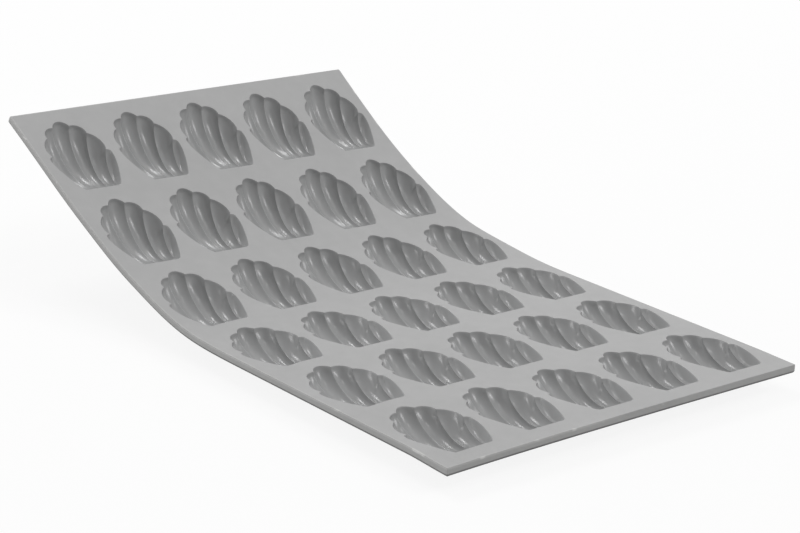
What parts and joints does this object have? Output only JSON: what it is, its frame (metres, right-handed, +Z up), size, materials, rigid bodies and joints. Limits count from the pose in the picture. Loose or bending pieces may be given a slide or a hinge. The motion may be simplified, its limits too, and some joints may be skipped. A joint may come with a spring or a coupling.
{
  "type": "flexible shell mould sheet",
  "caption": "Flexible grey silicone mould sheet with rows of scallop-shell cavities, its front lying flat and its far end raised in a curve.",
  "frame": {"origin": "on the surface that the sheet rests on, under the middle of the bounding box", "axes": "+X along the sheet towards its flat front edge, +Y across the columns, +Z up"},
  "size_m": [0.2886, 0.1752, 0.0661],
  "materials": {
    "silicone": "satin"
  },
  "bodies": {
    "row_6": {"row_6_deck": "silicone", "cup_6_1": "silicone", "cup_6_2": "silicone", "cup_6_3": "silicone", "cup_6_4": "silicone", "cup_6_5": "silicone"},
    "row_5": {"row_5_deck": "silicone", "cup_5_1": "silicone", "cup_5_2": "silicone", "cup_5_3": "silicone", "cup_5_4": "silicone", "cup_5_5": "silicone", "web_5_6": "silicone"},
    "row_4": {"row_4_deck": "silicone", "cup_4_1": "silicone", "cup_4_2": "silicone", "cup_4_3": "silicone", "cup_4_4": "silicone", "cup_4_5": "silicone", "web_4_5": "silicone"},
    "row_3": {"row_3_deck": "silicone", "cup_3_1": "silicone", "cup_3_2": "silicone", "cup_3_3": "silicone", "cup_3_4": "silicone", "cup_3_5": "silicone", "web_3_4": "silicone"},
    "row_2": {"row_2_deck": "silicone", "cup_2_1": "silicone", "cup_2_2": "silicone", "cup_2_3": "silicone", "cup_2_4": "silicone", "cup_2_5": "silicone", "web_2_3": "silicone"},
    "row_1": {"row_1_deck": "silicone", "cup_1_1": "silicone", "cup_1_2": "silicone", "cup_1_3": "silicone", "cup_1_4": "silicone", "cup_1_5": "silicone", "web_1_2": "silicone"}
  },
  "joints": [
    {"name": "bend_5_6", "type": "hinge", "parent": "row_6", "child": "row_5", "pos_m": [0.09174, 0, 0.0096], "axis": [0, 1, 0], "range_deg": [0, 30], "deforming": ["web_5_6"]},
    {"name": "bend_4_5", "type": "hinge", "parent": "row_5", "child": "row_4", "pos_m": [0.04304, 0, 0.0096], "axis": [0, 1, 0], "range_deg": [0, 30], "deforming": ["web_4_5"]},
    {"name": "bend_3_4", "type": "hinge", "parent": "row_4", "child": "row_3", "pos_m": [-0.00566, 0, 0.0096], "axis": [0, 1, 0], "range_deg": [-10.3, 19.7], "deforming": ["web_3_4"]},
    {"name": "bend_2_3", "type": "hinge", "parent": "row_3", "child": "row_2", "pos_m": [-0.05357, 0, 0.01831], "axis": [0, 1, 0], "range_deg": [-13.8, 16.2], "deforming": ["web_2_3"]},
    {"name": "bend_1_2", "type": "hinge", "parent": "row_2", "child": "row_1", "pos_m": [-0.09803, 0, 0.03819], "axis": [0, 1, 0], "range_deg": [-6.1, 23.9], "deforming": ["web_1_2"]}
  ]
}
